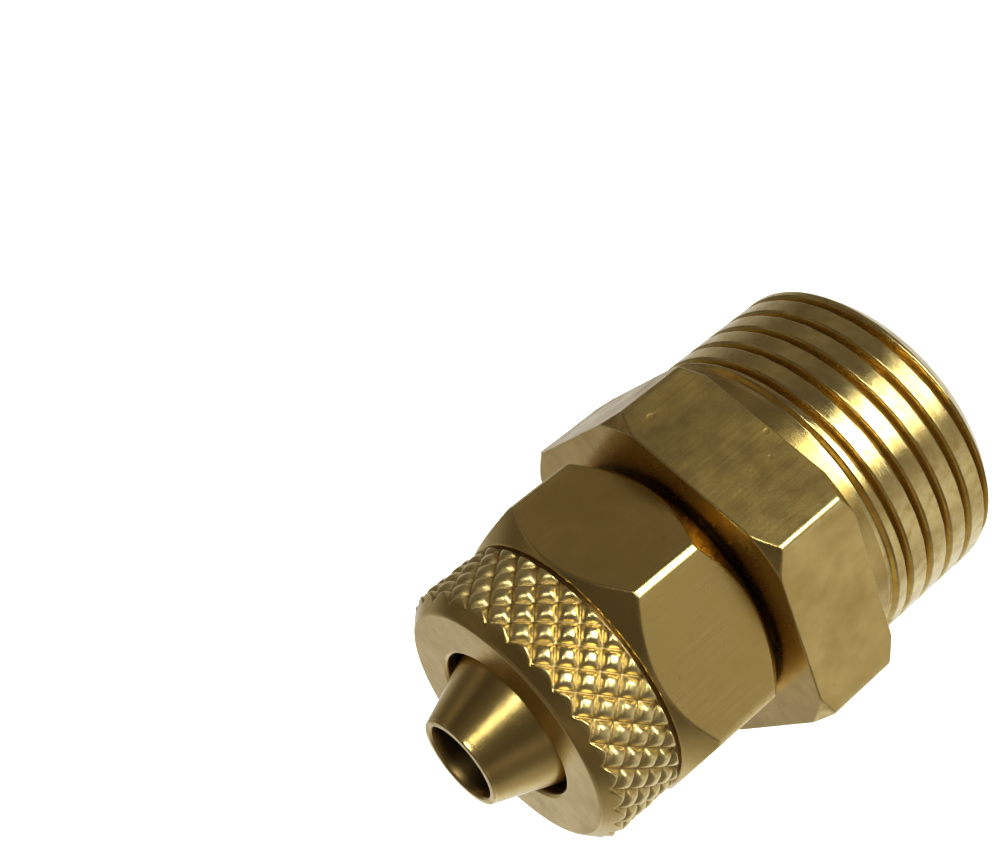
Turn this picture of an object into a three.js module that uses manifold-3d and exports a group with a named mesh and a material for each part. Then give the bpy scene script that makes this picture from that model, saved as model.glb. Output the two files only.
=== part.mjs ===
// Brass tube coupler: a screwed body with a conical spigot, and the hexagon nut with a
// knurled collar that clamps a push-on plastic tube over that spigot.
//
// Millimetres, +Z up. The coupler stands on the face of its pipe thread, the origin is the
// centre of that face and +Z runs along the axis to the tip of the spigot. One corner of the
// body's hexagon points to +X.

import * as THREE from 'three';
import { mergeVertices } from 'three/addons/utils/BufferGeometryUtils.js';
import Module from 'manifold-3d';

const SEGMENTS = 36;
const OVERRUN = 1;

// Body: pipe thread and hexagon
const BODY_ACROSS_FLATS = 21.6;
const PIPE_THREAD = { major: 20.95, depth: 0.9, pitch: 1.814, start: 0.9, end: 9.95, rows: 6 };
const LEAD_IN_RADIUS = 9.55;
const SHANK_RADIUS = 10.1;
const SHANK_STEP = 0.2;
const HEX_REAR = 11.5;
const HEX_FRONT = 17.8;
const HEX_CHAMFER_RADIUS = 11.7;
const HEX_CHAMFER_SLOPE = 1;

// Body: bore
const PORT_BORE_RADIUS = 7.8;
const PORT_BORE_DEPTH = 11;
const PORT_BORE_CHAMFER = 0.3;
const DRILL_POINT_DEPTH = 3.2;
const TUBE_BORE_RADIUS = 2.5;

// Body: neck and spigot
const NECK_THREAD = { major: 14.4, depth: 0.5, pitch: 1, start: 19.2, end: 24.2, rows: 4 };
const NECK_RUN_OUT = 0.3;
const NECK_RELIEF_RADIUS = 6.6;
const NECK_RELIEF_START = 25;
const SPIGOT_TIP = 35.25;
const SPIGOT_TIP_RADIUS = 3;
const SPIGOT_TAPER = 0.394;

// Nut
const NUT_ACROSS_FLATS = 18;
const NUT_TURN = THREE.MathUtils.degToRad(15.5);
const NUT_REAR = 18.15;
const NUT_HEX_FRONT = 26.2;
const NUT_REAR_RADIUS = 8.6;
const NUT_HEX_FRONT_RADIUS = 8.85;
const NUT_CHAMFER_SLOPE = 1.1;
const NUT_THREAD = { major: 15, depth: -0.4, pitch: 1, start: 19, end: 24, rows: 4 };
const NUT_BORE_CHAMFER = 0.4;
const NUT_CONE_START = 24.8;
const TUBE_HOLE_START = 30.9;
const TUBE_HOLE_RADIUS = 5.05;
const NUT_FRONT = 31.75;
const NUT_FRONT_RADIUS = 7.9;

// Nut: knurled collar
const COLLAR_START = 26.45;
const COLLAR_RADIUS = 8.85;
const COLLAR_EDGE_RADIUS = 8.65;
const COLLAR_GROOVE_RADIUS = 8.5;
const KNURL_STARTS = 30;
const KNURL_ROWS = 5;
const KNURL_DEPTH = 0.35;
const KNURL_MARGIN = 0.15;

const wasm = await Module();
wasm.setup();

function toSolid(geometry) {
  const bare = geometry.clone();
  bare.deleteAttribute('normal');
  bare.deleteAttribute('uv');
  const merged = mergeVertices(bare);
  const mesh = new wasm.Mesh({
    numProp: 3,
    vertProperties: new Float32Array(merged.attributes.position.array),
    triVerts: new Uint32Array(merged.index.array),
  });
  return new wasm.Manifold(mesh);
}

function toGeometry(solid) {
  const mesh = solid.getMesh();
  const geometry = new THREE.BufferGeometry();
  geometry.setAttribute('position', new THREE.BufferAttribute(mesh.vertProperties, 3));
  geometry.setIndex(new THREE.BufferAttribute(mesh.triVerts, 1));
  geometry.computeVertexNormals();
  return geometry;
}

// A solid turned about +Z from [radius, height] pairs that start and end on the axis.
function turned(profile, segments = SEGMENTS) {
  const points = profile.map(([radius, height]) => new THREE.Vector2(radius, height));
  return new THREE.LatheGeometry(points, segments).rotateX(Math.PI / 2);
}

// A straight turned length in rows close enough together to carry a thread.
function threadRows({ major, pitch, start, end, rows }) {
  const count = Math.round(((end - start) / pitch) * rows);
  const profile = [];
  for (let row = 0; row <= count; row += 1) {
    profile.push([major / 2, start + ((end - start) * row) / count]);
  }
  return profile;
}

// Moves the rows at one radius in or out by change(angle, height).
function moveRadially(geometry, from, to, radius, change) {
  const tolerance = 1e-3;
  const position = geometry.attributes.position;
  const point = new THREE.Vector3();
  for (let i = 0; i < position.count; i += 1) {
    point.fromBufferAttribute(position, i);
    const onSurface = Math.abs(Math.hypot(point.x, point.y) - radius) < tolerance;
    if (onSurface && point.z > from - tolerance && point.z < to + tolerance) {
      const scale = 1 + change(Math.atan2(point.y, point.x), point.z) / radius;
      position.setXY(i, point.x * scale, point.y * scale);
    }
  }
  return geometry;
}

// A right-hand thread cut from its major radius, running out over half a pitch at each end.
// A negative depth cuts it outwards into a bore.
function cutThread(geometry, { major, depth, pitch, start, end }) {
  return moveRadially(geometry, start, end, major / 2, (angle, height) => {
    const turn = THREE.MathUtils.euclideanModulo(height / pitch - angle / (2 * Math.PI), 1);
    const flank = 1.5 * (1 - Math.abs(2 * turn - 1)) - 0.25;
    const fade = Math.min(height - start, end - height) / (pitch / 2);
    const share = THREE.MathUtils.clamp(flank, 0, 1) * THREE.MathUtils.clamp(fade, 0, 1);
    return -depth * share;
  });
}

function hexagonBar(acrossFlats, from, to, turn) {
  const cornerRadius = acrossFlats / Math.sqrt(3);
  const corners = [];
  for (let corner = 0; corner < 6; corner += 1) {
    const angle = turn + (corner * Math.PI) / 3;
    corners.push(new THREE.Vector2(cornerRadius * Math.cos(angle), cornerRadius * Math.sin(angle)));
  }
  const settings = { depth: to - from, bevelEnabled: false };
  return new THREE.ExtrudeGeometry(new THREE.Shape(corners), settings).translate(0, 0, from);
}

// The double cone that takes the corners off a hexagon at both ends.
function chamferEnvelope(acrossFlats, rear, rearRadius, front, frontRadius, slope) {
  const outer = acrossFlats / Math.sqrt(3) + OVERRUN;
  return turned([
    [0, rear],
    [rearRadius, rear],
    [outer, rear + (outer - rearRadius) * slope],
    [outer, front - (outer - frontRadius) * slope],
    [frontRadius, front],
    [0, front],
  ], 2 * SEGMENTS);
}

function bodyTurning() {
  const coneStart = SPIGOT_TIP - (NECK_RELIEF_RADIUS - SPIGOT_TIP_RADIUS) / SPIGOT_TAPER;
  const neckRoot = NECK_THREAD.major / 2 - NECK_THREAD.depth;
  const blank = turned([
    [0, 0],
    [LEAD_IN_RADIUS, 0],
    ...threadRows(PIPE_THREAD),
    [SHANK_RADIUS, PIPE_THREAD.end + SHANK_STEP],
    [SHANK_RADIUS, HEX_REAR + OVERRUN],
    [neckRoot, HEX_FRONT - OVERRUN],
    [neckRoot, NECK_THREAD.start - NECK_RUN_OUT],
    ...threadRows(NECK_THREAD),
    [NECK_RELIEF_RADIUS, NECK_RELIEF_START],
    [NECK_RELIEF_RADIUS, coneStart],
    [SPIGOT_TIP_RADIUS, SPIGOT_TIP],
    [0, SPIGOT_TIP],
  ]);
  return cutThread(cutThread(blank, PIPE_THREAD), NECK_THREAD);
}

function bodyBore() {
  return turned([
    [0, -OVERRUN],
    [PORT_BORE_RADIUS + PORT_BORE_CHAMFER + OVERRUN, -OVERRUN],
    [PORT_BORE_RADIUS, PORT_BORE_CHAMFER],
    [PORT_BORE_RADIUS, PORT_BORE_DEPTH],
    [TUBE_BORE_RADIUS, PORT_BORE_DEPTH + DRILL_POINT_DEPTH],
    [TUBE_BORE_RADIUS, SPIGOT_TIP + OVERRUN],
    [0, SPIGOT_TIP + OVERRUN],
  ]);
}

function fittingBody() {
  const bar = toSolid(hexagonBar(BODY_ACROSS_FLATS, HEX_REAR, HEX_FRONT, 0));
  const envelope = toSolid(chamferEnvelope(
    BODY_ACROSS_FLATS,
    HEX_REAR,
    HEX_CHAMFER_RADIUS,
    HEX_FRONT,
    HEX_CHAMFER_RADIUS,
    HEX_CHAMFER_SLOPE,
  ));
  const hexagon = bar.intersect(envelope);
  return toGeometry(toSolid(bodyTurning()).add(hexagon).subtract(toSolid(bodyBore())));
}

// Two crossing sets of grooves leave staggered rows of small pyramids.
function knurledCollar() {
  const edge = NUT_FRONT - (COLLAR_EDGE_RADIUS - NUT_FRONT_RADIUS);
  const from = COLLAR_START + KNURL_MARGIN;
  const to = edge - KNURL_MARGIN;
  const rowHeight = (to - from) / KNURL_ROWS;
  const rows = [];
  for (let row = 0; row <= KNURL_ROWS; row += 1) {
    rows.push([COLLAR_RADIUS, from + row * rowHeight]);
  }
  const collar = turned([
    [0, NUT_HEX_FRONT - OVERRUN],
    [COLLAR_GROOVE_RADIUS, NUT_HEX_FRONT - OVERRUN],
    [COLLAR_GROOVE_RADIUS, COLLAR_START],
    [COLLAR_EDGE_RADIUS, COLLAR_START],
    ...rows,
    [COLLAR_EDGE_RADIUS, edge],
    [NUT_FRONT_RADIUS, NUT_FRONT],
    [0, NUT_FRONT],
  ], 2 * KNURL_STARTS);
  return moveRadially(collar, from, to, COLLAR_RADIUS, (angle, height) => {
    const column = Math.round((angle * KNURL_STARTS) / Math.PI);
    const row = Math.round((height - from) / rowHeight);
    return (column + row) % 2 === 0 ? 0 : -KNURL_DEPTH;
  });
}

function nutBore() {
  const crest = NUT_THREAD.major / 2;
  const coneRadius = TUBE_HOLE_RADIUS + SPIGOT_TAPER * (TUBE_HOLE_START - NUT_CONE_START);
  return cutThread(turned([
    [0, NUT_REAR - OVERRUN],
    [crest + NUT_BORE_CHAMFER + OVERRUN, NUT_REAR - OVERRUN],
    [crest, NUT_REAR + NUT_BORE_CHAMFER],
    ...threadRows(NUT_THREAD),
    [crest, NUT_CONE_START],
    [coneRadius, NUT_CONE_START],
    [TUBE_HOLE_RADIUS, TUBE_HOLE_START],
    [TUBE_HOLE_RADIUS, NUT_FRONT + OVERRUN],
    [0, NUT_FRONT + OVERRUN],
  ]), NUT_THREAD);
}

function couplingNut() {
  const bar = toSolid(hexagonBar(NUT_ACROSS_FLATS, NUT_REAR, NUT_HEX_FRONT, NUT_TURN));
  const envelope = toSolid(chamferEnvelope(
    NUT_ACROSS_FLATS,
    NUT_REAR,
    NUT_REAR_RADIUS,
    NUT_HEX_FRONT,
    NUT_HEX_FRONT_RADIUS,
    NUT_CHAMFER_SLOPE,
  ));
  const outside = bar.intersect(envelope).add(toSolid(knurledCollar()));
  return toGeometry(outside.subtract(toSolid(nutBore())));
}

function bodyBrass() {
  return new THREE.MeshStandardMaterial({ color: 0xb08a3c, roughness: 0.38, metalness: 1 });
}

function nutBrass() {
  return new THREE.MeshStandardMaterial({ color: 0xb89243, roughness: 0.32, metalness: 1 });
}

function piece(name, geometry, material) {
  const mesh = new THREE.Mesh(geometry, material);
  mesh.name = name;
  return mesh;
}

const coupler = new THREE.Group();
coupler.name = 'tube_coupler';
coupler.add(piece('fitting_body', fittingBody(), bodyBrass()));
coupler.add(piece('coupling_nut', couplingNut(), nutBrass()));

export default coupler;
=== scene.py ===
"""Brass tube coupler: the screwed body and its knurled clamping nut, on a plain studio stage."""

import math

import bpy
import numpy as np
from mathutils import Matrix, Vector


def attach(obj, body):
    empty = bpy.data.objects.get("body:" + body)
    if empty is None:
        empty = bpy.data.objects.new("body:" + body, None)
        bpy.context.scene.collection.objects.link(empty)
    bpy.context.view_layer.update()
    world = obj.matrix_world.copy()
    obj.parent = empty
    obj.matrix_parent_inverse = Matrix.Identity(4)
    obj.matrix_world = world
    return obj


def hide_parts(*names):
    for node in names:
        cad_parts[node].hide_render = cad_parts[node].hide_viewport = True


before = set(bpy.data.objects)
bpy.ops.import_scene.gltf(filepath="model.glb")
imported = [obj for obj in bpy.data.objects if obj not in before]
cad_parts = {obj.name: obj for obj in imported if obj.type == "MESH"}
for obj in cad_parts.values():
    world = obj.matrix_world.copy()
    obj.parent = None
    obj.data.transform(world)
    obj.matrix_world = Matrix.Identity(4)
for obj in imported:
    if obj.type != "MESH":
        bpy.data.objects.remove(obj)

bl_info = {
    "name": "Brass tube coupler",
    "version": (1, 0, 0),
    "blender": (4, 5, 0),
    "location": "3D View > Sidebar > Coupler",
    "description": "Builds a brass tube coupler: the screwed body, the clamping nut and a stage",
    "category": "Object",
}

MM = 0.001
AROUND = 720  # points around every ring

# how far the hexagons' corners and all other edges are worn back
BODY_CORNER_WEAR = 0.07 * MM
NUT_CORNER_WEAR = 0.12 * MM
BODY_EDGE = 0.08 * MM
NUT_EDGE = 0.07 * MM
TIP_EDGE = 0.12 * MM
# slopes of chamfers and of the thread's runout: radius gained per unit of length, or the inverse
RUNOUT_SLOPE = 1.9
NUT_REAR_SLOPE = 1.1
NUT_FRONT_SLOPE = 1.15
COLLAR_SLOPE = 1.5
# depth at which a chamfer has cut a corner through its finish, and at which its brink lies
CHAMFER_STEP = 0.12 * MM
BRINK = 0.04 * MM
# half width, as an angle, of the worn line down each corner
BODY_CORNER_LINE = 0.03
NUT_CORNER_LINE = 0.04
# the neck's thread: pitch and the height between rings
FINE_PITCH = 1.0 * MM
FINE_STEP = 0.07 * MM
PIPE_THREAD_PHASE = 0.742  # where round the part the pipe thread starts, in turns
BREAK = 0.3 * MM
DRILL_HALF_ANGLE = math.radians(59)


def length(name, description, default):
    return bpy.props.FloatProperty(
        name=name, description=description, default=default, unit="LENGTH", precision=5
    )


def factor(name, description, default):
    return bpy.props.FloatProperty(name=name, description=description, default=default)


def colour(name, description, default):
    return bpy.props.FloatVectorProperty(
        name=name, description=description, default=default, subtype="COLOR", size=3
    )


class CouplerBodySettings(bpy.types.PropertyGroup):
    """Sizes of the screwed body"""

    thread_radius: length("Thread radius", "Over the crests of the pipe thread", 0.010465)
    thread_pitch: length("Thread pitch", "Pitch of the pipe thread", 0.001814)
    thread_depth: length("Thread depth", "Depth of the pipe thread", 0.0007)
    lead_in_radius: length("Lead-in radius", "Outside of the thread-end face", 0.009515)
    thread_end: length("Thread end", "Where the thread meets the plain shank", 0.0096)
    shank_radius: length("Shank radius", "Plain length behind the thread", 0.0101)
    hex_apothem: length("Hexagon half width", "Half the width across flats", 0.0108)
    hex_rear: length("Hexagon rear", "Height of the shoulder", 0.0115)
    hex_front: length("Hexagon front", "Height of the front face", 0.0178)
    chamfer_radius: length("Chamfer radius", "Where the corner chamfer starts", 0.0117)
    port_radius: length("Port bore radius", "Wide bore at the thread end", 0.0078)
    port_depth: length("Port bore depth", "Depth of the wide bore", 0.011)
    neck_radius: length("Neck thread radius", "Over the crests of the neck thread", 0.0072)
    neck_root: length("Neck root radius", "Neck below its thread", 0.0066)
    neck_start: length("Neck thread start", "Height where the neck thread starts", 0.0188)
    neck_end: length("Neck thread end", "Height where the neck thread ends", 0.0246)
    spigot_tip: length("Spigot tip", "Height of the tip", 0.03525)
    spigot_radius: length("Spigot tip radius", "Outside radius at the tip", 0.003)
    spigot_taper: factor("Spigot taper", "Radius gained per unit of length", 0.394)
    tube_bore: length("Tube bore radius", "Bore through the spigot", 0.0025)


class CouplerNutSettings(bpy.types.PropertyGroup):
    """Sizes of the clamping nut"""

    hex_apothem: length("Hexagon half width", "Half the width across flats", 0.009)
    turn: bpy.props.FloatProperty(
        name="Turn", description="Angle of one corner", default=math.radians(15.5), unit="ROTATION"
    )
    rear: length("Rear face", "Height of the rear face", 0.01815)
    hex_front: length("Hexagon front", "Height where the hexagon ends", 0.02625)
    rear_radius: length("Rear rim radius", "Where the rear chamfer starts", 0.0086)
    collar_radius: length("Collar radius", "Over the knurl", 0.00885)
    collar_start: length("Collar start", "Height where the collar starts", 0.02648)
    front: length("Front face", "Height of the front face", 0.03175)
    front_radius: length("Front face radius", "Where the front chamfer starts", 0.0079)
    groove_radius: length("Groove radius", "Thin groove behind the collar", 0.0085)
    hole_radius: length("Tube hole radius", "Hole that the tube passes through", 0.00505)
    knurl_starts: bpy.props.IntProperty(
        name="Knurl starts", description="Grooves each way around the collar", default=30
    )
    knurl_depth: length("Knurl depth", "Depth of the knurl's grooves", 0.00042)
    bore_radius: length("Thread bore radius", "Bore that the inside thread is cut in", 0.0075)
    thread_end: length("Inside thread end", "Height where the inside thread ends", 0.0242)
    cone_start: length("Cone start", "Height of the inner cone's wide end", 0.0248)
    cone_end: length("Cone end", "Height where the cone meets the tube hole", 0.0309)
    cone_taper: factor("Cone taper", "Radius lost per unit of length", 0.394)


class CouplerFinishSettings(bpy.types.PropertyGroup):
    """Colours of the brass, with a painted shade colour for its recesses and a worn colour that
    also paints highlights
    """

    bright: colour("Bright brass", "Clean metal", (0.78, 0.565, 0.195))
    dull: colour("Dull brass", "Slightly tarnished metal", (0.60, 0.41, 0.12))
    # painted shade: the colour that grooves, thread roots and bores are darkened towards
    painted_shade: colour("Deep brass", "Grooves and bores", (0.24, 0.15, 0.06))
    # the rubbed-brass colour, also used as a painted highlight on the knurl's tops and the thread's
    # crests
    worn: colour("Worn brass", "Rubbed edges and crests", (0.93, 0.73, 0.31))


class CouplerStageSettings(bpy.types.PropertyGroup):
    """Camera and light"""

    lens: factor("Lens", "Focal length in millimetres", 65.8)
    floor: colour("Floor", "Colour of the floor", (0.93, 0.93, 0.93))


# ---------------------------------------------------------------- mesh


class Skin:
    """Rings of points that follow one another around a turned piece and close on themselves."""

    def __init__(self, turn=0.0):
        self.angle = turn + np.arange(AROUND) * 2 * math.pi / AROUND
        self.rings = []

    def add(self, radius, height, wear=0.0, recess=0.0, flat=0.0, knurl=0.0):
        """One ring. Each value is a number, or an array with a value for each angle."""
        whole = np.ones(AROUND)
        self.rings.append([whole * value for value in (radius, height, wear, recess, flat, knurl)])

    def line(self, start, end, count, **marks):
        """Rings along a straight line between two (radius, height) points, the end left out."""
        for step in range(count):
            share = step / count
            radius = start[0] + (end[0] - start[0]) * share
            height = start[1] + (end[1] - start[1]) * share
            self.add(radius, height, **marks)

    def build(self, name):
        rings = np.array(self.rings)
        radius, height = rings[:, 0], rings[:, 1]
        points = np.stack(
            [radius * np.cos(self.angle), radius * np.sin(self.angle), height], axis=-1
        )
        rows, columns = radius.shape
        index = np.arange(rows * columns).reshape(rows, columns)
        right = np.roll(index, -1, axis=1)
        quads = np.stack(
            [index, right, np.roll(right, -1, axis=0), np.roll(index, -1, axis=0)], axis=-1
        ).reshape(-1, 4)
        mesh = bpy.data.meshes.new(name)
        mesh.vertices.add(rows * columns)
        mesh.vertices.foreach_set("co", points.astype(np.float32).ravel())
        mesh.loops.add(quads.size)
        mesh.loops.foreach_set("vertex_index", quads.astype(np.int32).ravel())
        mesh.polygons.add(len(quads))
        mesh.polygons.foreach_set("loop_start", np.arange(0, quads.size, 4, dtype=np.int32))
        mesh.update(calc_edges=True)
        mesh.polygons.foreach_set("use_smooth", np.ones(len(quads), dtype=bool))
        step = np.hypot(np.diff(radius, axis=0), np.diff(height, axis=0))
        track = np.vstack([np.zeros(columns), np.cumsum(step, axis=0)]).mean(axis=1)
        # the marks: rubbed edges and crests that get a partly painted highlight, recesses that get
        # painted shade, flats, and the knurl
        values = {
            "wear": rings[:, 2],
            "recess": rings[:, 3],
            "flat": rings[:, 4],
            "knurl": rings[:, 5],
            "track": np.repeat(track[:, None], columns, axis=1) * 1000,
        }
        for label, value in values.items():
            layer = mesh.attributes.new(label, "FLOAT", "POINT")
            layer.data.foreach_set("value", value.astype(np.float32).ravel())
        made = bpy.data.objects.new(name, mesh)
        bpy.context.scene.collection.objects.link(made)
        return made


def soft_min(first, second, softness):
    """The smaller of two lengths, with the step between them rounded off."""
    gap = np.clip(0.5 + 0.5 * (second - first) / softness, 0, 1)
    return second * (1 - gap) + first * gap - softness * gap * (1 - gap)


def from_corner(angle, turn):
    """Angle from the nearest corner of a hexagon, up to 30 degrees either way."""
    sixth = math.pi / 3
    return (angle - turn + sixth / 2) % sixth - sixth / 2


def hexagon(angle, turn, apothem, corner_worn):
    """Radius at each angle of a hexagon whose sharp corners are worn back by corner_worn."""
    away = np.abs(from_corner(angle, turn))
    flat = apothem / np.cos(math.pi / 6 - away)
    worn = (apothem / math.cos(math.pi / 6) - corner_worn) / np.cos(away)
    return soft_min(flat, worn, corner_worn * 0.4)


def v_thread(turns, crest=0.33, root=0.03):
    """Depth below the crest of a V thread, 0 to 1. crest and root are half widths in pitches."""
    away = np.abs((turns % 1) - 0.5)
    share = np.clip((away - crest) / (0.5 - crest - root), 0, 1)
    return share * share * (3 - 2 * share) * 0.45 + share * 0.55


def rows(start, end, step):
    """Evenly spaced heights, the end left out."""
    count = max(1, round(abs(end - start) / step))
    return start + (end - start) * np.arange(count) / count


def hexagon_levels(low, high, rear_part, front_part, fine):
    """Heights up a hexagon, close together where its chamfers curve and wider between them."""
    return np.concatenate([
        rows(low, low + rear_part, fine),
        rows(low + rear_part, high - front_part, 0.2 * MM),
        rows(high - front_part, high, fine),
    ])


def rounded_edge(skin, outer, height, size, sense, **marks):
    """A small round between a face and the side above it (sense 1) or below it (sense -1)."""
    angles = np.linspace(0, math.pi / 2, 6)[:-1]
    if sense < 0:
        angles = np.linspace(math.pi / 2, 0, 6)[:-1]
    for angle in angles:
        level = height + sense * size * (1 - math.cos(angle))
        skin.add(outer(level) - size * (1 - math.sin(angle)), level, **marks)


def chamfer_marks(removed):
    """How far a hexagon is cut by its chamfer, 0 to 1, and how near the chamfer's brink is."""
    cut = np.clip(removed / CHAMFER_STEP, 0, 1)
    brink = np.exp(-((removed / BRINK - 1) ** 2)) * (cut > 0.05)
    return cut, brink


def body_skin(size):
    """The screwed body, from the bore's mouth up the outside to the tip and down the bores."""
    skin = Skin()
    angle = skin.angle
    edge = BODY_EDGE
    port = size.port_radius
    bar = hexagon(angle, 0.0, size.hex_apothem, BODY_CORNER_WEAR)

    def thread(height):
        turns = height / size.thread_pitch - angle / (2 * math.pi) - PIPE_THREAD_PHASE
        share = v_thread(turns)
        lead = size.lead_in_radius + height
        shank = size.shank_radius + max(0.0, size.thread_end - height) * RUNOUT_SLOPE
        crest = size.thread_radius - size.thread_depth * share
        radius = soft_min(soft_min(crest, lead, edge), shank, edge)
        return radius, share

    def hexagon_side(height):
        rear = size.chamfer_radius + height - size.hex_rear
        front = size.chamfer_radius + size.hex_front - height
        return soft_min(soft_min(bar, rear, edge), front, edge)

    near = np.abs(from_corner(angle, 0.0))
    corner_wear = np.exp(-((near / BODY_CORNER_LINE) ** 2))

    # port end: bore mouth, face and lead-in
    mouth = 0.4 * MM
    skin.line((port, mouth), (port, BREAK), 1, recess=0.8)
    skin.line((port, BREAK), (port + 0.28 * MM, 0.02 * MM), 4, recess=0.3)
    face_out = size.lead_in_radius
    skin.line((port + BREAK, 0), (face_out - edge, 0), 14, wear=0.25)
    skin.add(face_out - 0.3 * edge, 0.2 * edge, wear=0.9)

    # pipe thread and plain shank
    runout = size.thread_end + 0.35 * MM
    for height in rows(0.04 * MM, runout, 0.055 * MM):
        radius, share = thread(height)
        # crests take the worn colour, partly real wear and partly a painted highlight; roots take
        # painted shade
        skin.add(radius, height, wear=np.clip(1 - share * 2, 0, 1), recess=share**2)
    shoulder = size.hex_rear
    shank = size.shank_radius
    fillet = 0.2 * MM
    skin.line((shank, runout), (shank, shoulder - fillet), 14, recess=0.2)
    for step in range(5):
        bend = step / 5 * math.pi / 2
        skin.add(
            shank + fillet * (1 - math.cos(bend)),
            shoulder - fillet * (1 - math.sin(bend)),
            recess=0.5,
        )

    # hexagon
    rim = hexagon_side(shoulder) - edge
    for share in rows(0, 1, 1 / 24):
        skin.add(shank + fillet + (rim - shank - fillet) * share, shoulder)
    rounded_edge(skin, hexagon_side, shoulder, edge, 1, wear=0.8)
    low, high = shoulder + edge, size.hex_front - edge
    for level in hexagon_levels(low, high, 1.2 * MM, 1.2 * MM, 0.05 * MM):
        radius = hexagon_side(level)
        cut, brink = chamfer_marks(bar - radius)
        skin.add(radius, level, wear=np.maximum(corner_wear, brink), flat=1 - cut)
    rounded_edge(skin, hexagon_side, size.hex_front, edge, -1, wear=0.8)
    neck_root = size.neck_root
    rim = hexagon_side(size.hex_front) - edge
    for share in rows(0, 1, 1 / 30):
        skin.add(rim + (neck_root - rim) * share, size.hex_front, recess=0.3)

    # neck and its fine thread
    skin.line((neck_root, size.hex_front), (neck_root, size.neck_start), 8, recess=0.6)
    for height in rows(size.neck_start, size.neck_end, FINE_STEP):
        share = v_thread(height / FINE_PITCH - angle / (2 * math.pi))
        lead = neck_root + max(0.0, height - size.neck_start)
        tail = neck_root + max(0.0, size.neck_end - height)
        crest = size.neck_radius - (size.neck_radius - neck_root) * share
        radius = soft_min(soft_min(crest, lead, edge), tail, edge)
        skin.add(radius, height, wear=np.clip(1 - share * 3, 0, 1), recess=share)
    cone_start = size.spigot_tip - (neck_root - size.spigot_radius) / size.spigot_taper
    skin.line((neck_root, size.neck_end), (neck_root, cone_start), 10, recess=0.3)

    # spigot
    cone_tip = (size.spigot_radius, size.spigot_tip - TIP_EDGE)
    skin.line((neck_root, cone_start), cone_tip, 70, wear=0.1)
    for step in range(5):
        bend = step / 5 * math.pi / 2
        skin.add(
            size.spigot_radius - TIP_EDGE * (1 - math.cos(bend)),
            size.spigot_tip - TIP_EDGE * (1 - math.sin(bend)),
            wear=1,
        )
    bore = size.tube_bore
    inner_break = 0.1 * MM
    bore_start = size.spigot_tip - 0.15 * MM
    skin.line(
        (size.spigot_radius - TIP_EDGE, size.spigot_tip),
        (bore + inner_break, size.spigot_tip),
        4,
        wear=0.9,
    )
    skin.line((bore + inner_break, size.spigot_tip), (bore, bore_start), 3, wear=0.5)

    # bores, darkened with painted shade
    drill = size.port_depth + (port - bore) / math.tan(DRILL_HALF_ANGLE)
    skin.line((bore, bore_start), (bore, drill), 40, recess=0.9)
    skin.line((bore, drill), (port, size.port_depth), 16, recess=0.8)
    skin.line((port, size.port_depth), (port, mouth), 30, recess=0.75)
    return skin


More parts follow.
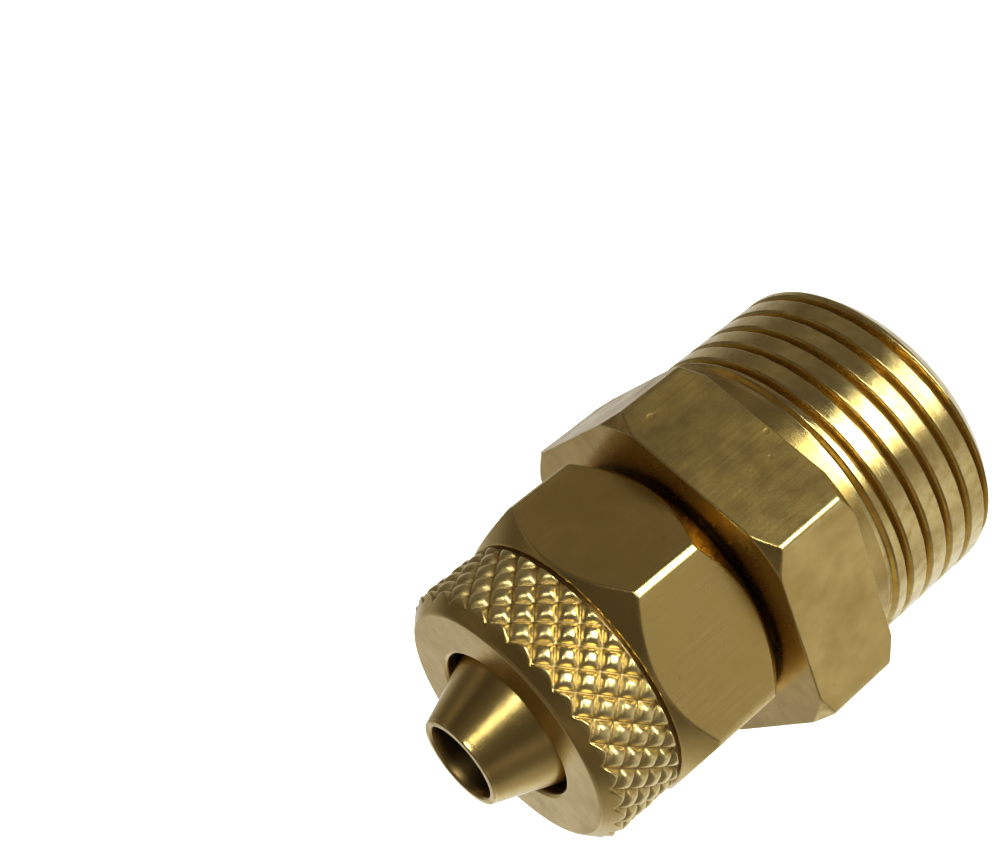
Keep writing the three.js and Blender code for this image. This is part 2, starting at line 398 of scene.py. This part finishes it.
def nut_skin(size):
    """The clamping nut, from its rear face up the outside and back down its inside."""
    skin = Skin(size.turn)
    angle = skin.angle
    edge = NUT_EDGE
    bore = size.bore_radius
    bar = hexagon(angle, size.turn, size.hex_apothem, NUT_CORNER_WEAR)
    mouth = 0.4 * MM
    thread_depth = 0.4 * MM
    rim_step = 0.1 * MM
    hole_break = 0.15 * MM
    rim_break = 0.12 * MM

    def side(height):
        rear = size.rear_radius + (height - size.rear) / NUT_REAR_SLOPE
        front = size.collar_radius + (size.hex_front - height) / NUT_FRONT_SLOPE
        return soft_min(soft_min(bar, rear, edge), front, edge)

    def knurl(height):
        around = (angle - size.turn) * size.knurl_starts / (2 * math.pi)
        along = (height - size.collar_start) * size.knurl_starts / (
            2 * math.pi * size.collar_radius
        )
        grooves = [np.abs(2 * ((around + way * along) % 1) - 1) for way in (1, -1)]
        share = 1 - (1 - grooves[0] ** 3) * (1 - grooves[1] ** 3)
        chamfer = size.front_radius + size.front - height
        start = size.collar_radius - rim_step + (height - size.collar_start) * COLLAR_SLOPE
        radius = size.collar_radius - size.knurl_depth * share
        radius = soft_min(radius, chamfer, edge)
        return soft_min(radius, start, edge), share

    near = np.abs(from_corner(angle, size.turn))
    corner_wear = np.exp(-((near / NUT_CORNER_LINE) ** 2))

    # rear face and hexagon
    skin.line((bore + mouth, size.rear), (size.rear_radius - edge, size.rear), 8)
    rounded_edge(skin, side, size.rear, edge, 1, wear=0.6)
    low, high = size.rear + edge, size.hex_front - edge
    for level in hexagon_levels(low, high, 2.3 * MM, 2.2 * MM, 0.06 * MM):
        radius = side(level)
        cut, brink = chamfer_marks(bar - radius)
        skin.add(radius, level, wear=np.maximum(corner_wear * (1 - cut), brink), flat=1 - cut)
    rounded_edge(skin, side, size.hex_front, edge, -1, wear=0.5)
    rim = side(size.hex_front) - edge
    for share in rows(0, 1, 1 / 6):
        skin.add(rim + (size.groove_radius - rim) * share, size.hex_front, recess=0.5)
    groove = size.groove_radius
    skin.line((groove, size.hex_front), (groove, size.collar_start), 5, recess=1)

    # knurled collar, chamfer and front face
    collar_rim = size.collar_radius - rim_step - edge
    skin.line((groove, size.collar_start), (collar_rim, size.collar_start), 4, recess=0.7)
    spacing = 2 * math.pi * size.collar_radius / AROUND
    for height in rows(size.collar_start + 0.02 * MM, size.front - edge, spacing * 0.75):
        radius, share = knurl(height)
        chamfer = size.front_radius + size.front - height
        cut = np.clip((size.collar_radius - chamfer) / BREAK, 0, 1)
        # the knurl's tops take the worn colour as a painted highlight; its grooves take painted
        # shade
        worn = np.clip(1.5 - 2 * share, 0, 1)
        skin.add(
            radius, height, wear=worn * (1 - cut), recess=share**3 * (1 - cut), knurl=1 - cut
        )
    skin.add(size.front_radius - 0.3 * edge, size.front - 0.3 * edge, wear=0.7)
    hole = size.hole_radius
    skin.line(
        (size.front_radius - edge, size.front), (hole + hole_break, size.front), 30, wear=0.15
    )
    skin.line((hole + hole_break, size.front), (hole, size.front - rim_break), 4, wear=0.6)

    # hole, inner cone and thread
    skin.line((hole, size.front - rim_break), (hole, size.cone_end), 6, recess=0.7)
    cone = hole + size.cone_taper * (size.cone_end - size.cone_start)
    skin.line((hole, size.cone_end), (cone, size.cone_start), 20, recess=0.9)
    skin.line((cone, size.cone_start), (bore, size.thread_end), 3, recess=0.9)
    thread_start = size.rear + mouth
    runout = 0.5 * MM
    for height in rows(size.thread_end, thread_start, FINE_STEP):
        share = v_thread(height / FINE_PITCH - angle / (2 * math.pi))
        fade = min(1.0, (size.thread_end - height) / runout, (height - thread_start) / runout)
        skin.add(bore + thread_depth * share * max(0.0, fade), height, recess=0.8)
    skin.line((bore, thread_start), (bore + mouth, size.rear), 5, recess=0.5)
    return skin


# ---------------------------------------------------------------- materials


class Nodes:
    """Short ways to add nodes to one material."""

    def __init__(self, tree):
        self.tree = tree

    def add(self, kind, **settings):
        node = self.tree.nodes.new(kind)
        for name, value in settings.items():
            setattr(node, name, value)
        return node

    def link(self, source, target):
        self.tree.links.new(source, target)

    def attribute(self, name):
        return self.add("ShaderNodeAttribute", attribute_name=name).outputs["Fac"]

    def math(self, operation, first, second, clamp=False):
        node = self.add("ShaderNodeMath", operation=operation, use_clamp=clamp)
        for socket, value in zip(node.inputs, (first, second)):
            if isinstance(value, (int, float)):
                socket.default_value = value
            else:
                self.link(value, socket)
        return node.outputs[0]

    def scaled(self, value, factor, offset):
        """value times factor plus offset, where either of those may be a number or a socket."""
        return self.math("ADD", self.math("MULTIPLY", value, factor), offset)

    def remap(self, value, low, high, to_low=0.0, to_high=1.0):
        node = self.add("ShaderNodeMapRange")
        self.link(value, node.inputs["Value"])
        node.inputs["From Min"].default_value = low
        node.inputs["From Max"].default_value = high
        node.inputs["To Min"].default_value = to_low
        node.inputs["To Max"].default_value = to_high
        return node.outputs["Result"]

    def noise(self, scale, stretch=(1, 1, 1), detail=3.0, rough=0.55):
        place = self.add("ShaderNodeTexCoord").outputs["Object"]
        mapping = self.add("ShaderNodeMapping")
        mapping.inputs["Scale"].default_value = [scale * part for part in stretch]
        self.link(place, mapping.inputs["Vector"])
        node = self.add("ShaderNodeTexNoise")
        node.inputs["Scale"].default_value = 1.0
        node.inputs["Detail"].default_value = detail
        node.inputs["Roughness"].default_value = rough
        self.link(mapping.outputs["Vector"], node.inputs["Vector"])
        return node.outputs["Fac"]

    def tool_marks(self, scale, detail=4.0):
        """Fine rings that follow the turning tool's track."""
        node = self.add("ShaderNodeTexNoise", noise_dimensions="1D")
        node.inputs["Scale"].default_value = scale
        node.inputs["Detail"].default_value = detail
        node.inputs["Roughness"].default_value = 0.7
        track = self.attribute("track")
        self.link(track, node.inputs["W"])
        return node.outputs["Fac"]

    def mix(self, amount, first, second):
        node = self.add("ShaderNodeMix", data_type="RGBA")
        self.link(amount, node.inputs["Factor"])
        for name, value in (("A", first), ("B", second)):
            socket = next(s for s in node.inputs if s.name == name and s.type == "RGBA")
            if isinstance(value, (tuple, list)):
                socket.default_value = (*value, 1)
            else:
                self.link(value, socket)
        return next(s for s in node.outputs if s.type == "RGBA")


def brass(name, finish, grain, streak, roughness):
    """Turned and drawn brass: tool marks, bar grain, patchy tarnish, bright worn edges, painted
    shade in the recesses and painted highlights on the knurl's tops and the thread's crests.
    """
    material = bpy.data.materials.new(name)
    material.use_nodes = True
    nodes = Nodes(material.node_tree)
    shader = material.node_tree.nodes["Principled BSDF"]
    shader.inputs["Metallic"].default_value = 1.0
    bright, dull, painted_shade = tuple(finish.bright), tuple(finish.dull), tuple(finish.painted_shade)
    worn = tuple(finish.worn)
    wear, recess, flat, knurl = (nodes.attribute(n) for n in ("wear", "recess", "flat", "knurl"))

    patches = nodes.remap(nodes.noise(220, detail=5.0), 0.38, 0.66)
    blotches = nodes.remap(nodes.noise(900, detail=4.0), 0.35, 0.7)
    tarnish = nodes.scaled(blotches, 0.35, nodes.math("MULTIPLY", patches, 0.6))
    base = nodes.mix(tarnish, bright, dull)
    # painted shade: recesses are darkened towards the painted shade colour
    base = nodes.mix(nodes.math("MULTIPLY", recess, 0.8), base, painted_shade)
    # rubbed edges and crests lighten to the worn colour, partly real wear and partly a painted
    # highlight
    speckled_wear_and_highlight = nodes.math("MULTIPLY", wear, nodes.remap(nodes.noise(1500), 0.3, 0.6))
    # painted highlight: the knurl's tops lighten to the worn colour all over
    base = nodes.mix(nodes.math("MULTIPLY", knurl, nodes.math("SUBTRACT", 1.0, recess)), base, worn)
    base = nodes.mix(nodes.math("MULTIPLY", speckled_wear_and_highlight, 0.8), base, worn)
    nodes.link(base, shader.inputs["Base Color"])

    gloss = nodes.scaled(tarnish, 0.16, roughness)
    gloss = nodes.scaled(recess, 0.12, gloss)
    gloss = nodes.scaled(flat, 0.07, gloss)
    gloss = nodes.scaled(knurl, 0.10, gloss)
    gloss = nodes.math("SUBTRACT", gloss, nodes.math("MULTIPLY", speckled_wear_and_highlight, 0.06), clamp=True)
    nodes.link(gloss, shader.inputs["Roughness"])

    turned = nodes.math("SUBTRACT", 1.0, flat)
    marks = nodes.math("MULTIPLY", nodes.tool_marks(9.0), turned)
    specks = nodes.math("MULTIPLY", nodes.noise(3600, detail=2.0), flat)
    lines = nodes.math("MULTIPLY", nodes.noise(2600, (1, 1, 0.03), 3.0), flat)
    dents = nodes.remap(nodes.noise(900, detail=1.0), 0.74, 0.8, 0.0, -0.6)
    height = nodes.math("MULTIPLY", dents, flat)
    for relief, depth in ((marks, 0.3), (specks, grain), (lines, streak)):
        height = nodes.scaled(relief, depth, height)
    bump = nodes.add("ShaderNodeBump")
    bump.inputs["Strength"].default_value = 0.5
    bump.inputs["Distance"].default_value = 0.04 * MM
    nodes.link(height, bump.inputs["Height"])
    nodes.link(bump.outputs["Normal"], shader.inputs["Normal"])
    return material


def floor_material(shade):
    material = bpy.data.materials.new("floor_white")
    material.use_nodes = True
    nodes = Nodes(material.node_tree)
    shader = material.node_tree.nodes["Principled BSDF"]
    shader.inputs["Roughness"].default_value = 0.9
    shader.inputs["Specular IOR Level"].default_value = 0.0
    faint = nodes.remap(nodes.noise(30), 0.3, 0.7)
    pale = tuple(shade)
    warm = (pale[0], pale[1] * 0.995, pale[2] * 0.985)
    nodes.link(nodes.mix(faint, pale, warm), shader.inputs["Base Color"])
    return material


# ---------------------------------------------------------------- stage

# the camera's place in metres, and which way its picture's right and top edges point
CAMERA_PLACE = Vector((0.09970, 0.01907, 0.06455))
CAMERA_RIGHT = Vector((0.35018, -0.58284, -0.73326))
CAMERA_UP = Vector((0.19971, 0.81129, -0.54948))

# the room's light along two directions: cosine to the direction, level and tint
ROOM_UP = Vector((0.814, 0.470, 0.342))
WINDOW = Vector((0.425, -0.736, -0.5)).normalized()
WARM = (1.0, 0.86, 0.70)
PLAIN = (1.0, 0.97, 0.92)
COOL = (0.94, 1.0, 1.08)
LIGHT_COLOUR = (0.96, 1.0, 0.93)
UNDER_LEVELS = (
    (-1.0, 0.90, COOL),
    (-0.86, 0.82, COOL),
    (-0.63, 0.40, PLAIN),
    (-0.4, 0.28, PLAIN),
    (-0.25, 0.15, PLAIN),
    (-0.1, 0.10, WARM),
    (0.1, 0.10, WARM),
    (0.35, 0.18, WARM),
    (0.6, 0.05, WARM),
    (1.0, 0.10, WARM),
)
WINDOW_LEVELS = (
    (-1.0, 0.0, PLAIN),
    (0.6, 0.02, PLAIN),
    (0.75, 0.04, PLAIN),
    (0.89, 0.03, PLAIN),
    (0.96, 0.26, PLAIN),
    (1.0, 0.50, COOL),
)

MIDDLE = Vector((0, 0, 0.0175))  # halfway up the coupler

# each light's direction from there, distance and sizes in metres, and power in watts
LIGHTS = {
    "key": dict(direction=(0.92, 0.11, -0.39), distance=0.3, width=0.16, depth=0.10, power=0.62),
    "lamp": dict(direction=(0.83, 0.45, 0.31), distance=0.3, width=0.03, depth=0.10, power=0.13),
    "floor_light": dict(
        direction=(0.0, 0.0, 1.0), distance=1.5, width=4.0, depth=4.0, power=170.0, glossy=False
    ),
}


def aimed(obj, place, target):
    obj.location = place
    obj.rotation_mode = "QUATERNION"
    obj.rotation_quaternion = (Vector(target) - Vector(place)).to_track_quat("-Z", "Y")


def softbox(name, direction, distance, width, depth, power, glossy=True):
    """A soft light that shines from that direction onto the coupler's middle.

    One that isn't glossy only lights the floor, so it stays out of the metal and casts no shadow.
    """
    data = bpy.data.lights.new(name, "AREA")
    data.shape = "RECTANGLE"
    data.size = width
    data.size_y = depth
    data.energy = power
    data.color = LIGHT_COLOUR
    light = bpy.data.objects.new(name, data)
    aimed(light, MIDDLE + Vector(direction).normalized() * distance, MIDDLE)
    light.visible_camera = False
    light.visible_glossy = glossy
    data.use_shadow = glossy
    bpy.context.scene.collection.objects.link(light)
    return light


def room():
    """A plain room: pale under the coupler's lower side, dim above and paler to one side."""
    world = bpy.data.worlds.new("room")
    bpy.context.scene.world = world
    world.use_nodes = True
    nodes = Nodes(world.node_tree)
    background = world.node_tree.nodes["Background"]
    place = nodes.add("ShaderNodeTexCoord").outputs["Generated"]

    def along(direction, levels):
        dot = nodes.add("ShaderNodeVectorMath", operation="DOT_PRODUCT")
        nodes.link(place, dot.inputs[0])
        dot.inputs[1].default_value = direction
        ramp = nodes.add("ShaderNodeValToRGB")
        nodes.link(nodes.remap(dot.outputs["Value"], -1.0, 1.0), ramp.inputs["Fac"])
        stops = ramp.color_ramp.elements
        stops.remove(stops[1])
        for count, (cosine, level, tint) in enumerate(levels):
            stop = stops[0] if count == 0 else stops.new((cosine + 1) / 2)
            stop.position = (cosine + 1) / 2
            stop.color = (*(level * part for part in tint), 1)
        return ramp.outputs["Color"]

    floor_side = along(ROOM_UP, UNDER_LEVELS)
    window_side = along(WINDOW, WINDOW_LEVELS)
    both = nodes.add("ShaderNodeVectorMath", operation="ADD")
    nodes.link(floor_side, both.inputs[0])
    nodes.link(window_side, both.inputs[1])
    nodes.link(both.outputs["Vector"], background.inputs["Color"])


def floor(shade):
    mesh = bpy.data.meshes.new("floor")
    half = 2.0  # metres
    corners = [(-half, -half, 0), (half, -half, 0), (half, half, 0), (-half, half, 0)]
    mesh.from_pydata(corners, [], [(0, 1, 2, 3)])
    made = bpy.data.objects.new("floor", mesh)
    bpy.context.scene.collection.objects.link(made)
    mesh.materials.append(floor_material(shade))
    made.visible_glossy = False
    made.visible_diffuse = False
    made.visible_shadow = False


def camera(lens):
    data = bpy.data.cameras.new("camera")
    data.lens = lens
    data.sensor_width = 36.0
    data.clip_start = 0.005
    data.clip_end = 20.0
    made = bpy.data.objects.new("camera", data)
    bpy.context.scene.collection.objects.link(made)
    back = CAMERA_RIGHT.cross(CAMERA_UP)
    turn = Matrix((CAMERA_RIGHT, CAMERA_UP, back)).transposed().to_4x4()
    made.matrix_world = Matrix.Translation(CAMERA_PLACE) @ turn
    bpy.context.scene.camera = made


# ---------------------------------------------------------------- add-on


class COUPLER_OT_body(bpy.types.Operator):
    """Build the screwed body"""

    bl_idname = "coupler.body"
    bl_label = "Screwed body"

    def execute(self, context):
        scene = context.scene
        made = body_skin(scene.coupler_body).build("screwed_body")
        made.data.materials.append(brass("body_brass", scene.coupler_finish, 0.3, 0.5, 0.18))
        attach(made, "body")
        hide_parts("fitting_body")
        return {"FINISHED"}


class COUPLER_OT_nut(bpy.types.Operator):
    """Build the clamping nut"""

    bl_idname = "coupler.nut"
    bl_label = "Clamping nut"

    def execute(self, context):
        scene = context.scene
        made = nut_skin(scene.coupler_nut).build("clamping_nut")
        made.data.materials.append(brass("nut_brass", scene.coupler_finish, 0.15, 1.0, 0.17))
        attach(made, "nut")
        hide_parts("coupling_nut")
        return {"FINISHED"}


class COUPLER_OT_stage(bpy.types.Operator):
    """Build the floor, the lights and the camera"""

    bl_idname = "coupler.stage"
    bl_label = "Stage"

    def execute(self, context):
        stage = context.scene.coupler_stage
        context.scene.view_settings.view_transform = "Standard"
        room()
        floor(stage.floor)
        for name, light in LIGHTS.items():
            softbox(name, **light)
        camera(stage.lens)
        return {"FINISHED"}


class COUPLER_PT_panel(bpy.types.Panel):
    """Lists the steps that build the coupler"""

    bl_idname = "COUPLER_PT_panel"
    bl_label = "Brass tube coupler"
    bl_space_type = "VIEW_3D"
    bl_region_type = "UI"
    bl_category = "Coupler"

    def draw(self, context):
        for step in (COUPLER_OT_body, COUPLER_OT_nut, COUPLER_OT_stage):
            self.layout.operator(step.bl_idname)


SETTINGS = {
    "coupler_body": CouplerBodySettings,
    "coupler_nut": CouplerNutSettings,
    "coupler_finish": CouplerFinishSettings,
    "coupler_stage": CouplerStageSettings,
}
STEPS = (COUPLER_OT_body, COUPLER_OT_nut, COUPLER_OT_stage)


def register():
    for name, group in SETTINGS.items():
        bpy.utils.register_class(group)
        setattr(bpy.types.Scene, name, bpy.props.PointerProperty(type=group))
    for step in STEPS:
        bpy.utils.register_class(step)
    bpy.utils.register_class(COUPLER_PT_panel)


def unregister():
    bpy.utils.unregister_class(COUPLER_PT_panel)
    for step in reversed(STEPS):
        bpy.utils.unregister_class(step)
    for name, group in SETTINGS.items():
        delattr(bpy.types.Scene, name)
        bpy.utils.unregister_class(group)


def main():
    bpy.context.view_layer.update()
    register()
    bpy.ops.coupler.body()
    bpy.ops.coupler.nut()
    bpy.ops.coupler.stage()


if __name__ == "__main__":
    main()
